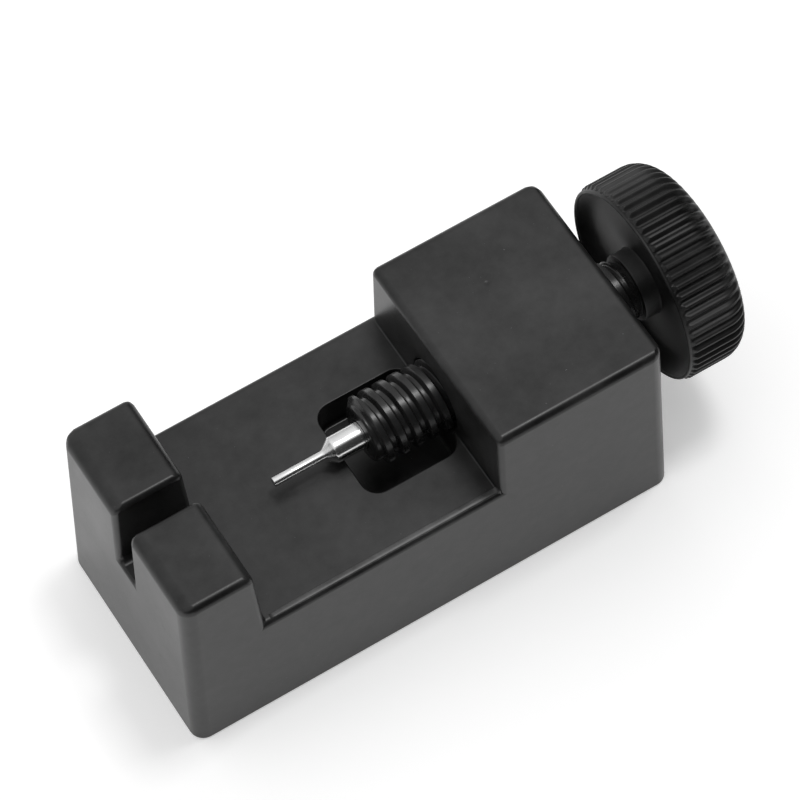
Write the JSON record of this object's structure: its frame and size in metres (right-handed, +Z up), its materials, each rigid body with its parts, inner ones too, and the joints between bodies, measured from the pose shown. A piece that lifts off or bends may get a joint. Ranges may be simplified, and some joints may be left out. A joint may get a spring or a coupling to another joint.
{
  "type": "bracelet link press",
  "caption": "Small plastic bench press with an open bed, slotted anvil posts and a knob-driven screw that pushes a steel pin through a watch bracelet link.",
  "frame": {"origin": "middle of the body's bottom face, on the table", "axes": "+X along the body from the anvil posts to the knob, +Y across it, +Z up"},
  "size_m": [0.056, 0.0212, 0.024],
  "materials": {
    "body_plastic": "satin",
    "screw_plastic": "satin",
    "knob_plastic": "satin",
    "pin_steel": "polished"
  },
  "bodies": {
    "body": {"body": "body_plastic"},
    "pin": {"push_pin": "pin_steel"},
    "screw": {"feed_screw": "screw_plastic", "knob": "knob_plastic"}
  },
  "joints": [
    {"name": "pin_feed", "type": "slide", "parent": "body", "child": "pin", "axis": [-1, 0, 0], "range_m": [-0.015, 0.0019]},
    {"name": "screw_turn", "type": "hinge", "parent": "pin", "child": "screw", "pos_m": [0, 0, 0.0148], "axis": [-1, 0, 0], "range_deg": [-3857.14, 488.57]}
  ],
  "couplings": [
    {"joint": "pin_feed", "follows": "screw_turn", "m_per_rad": 0.00022282}
  ]
}
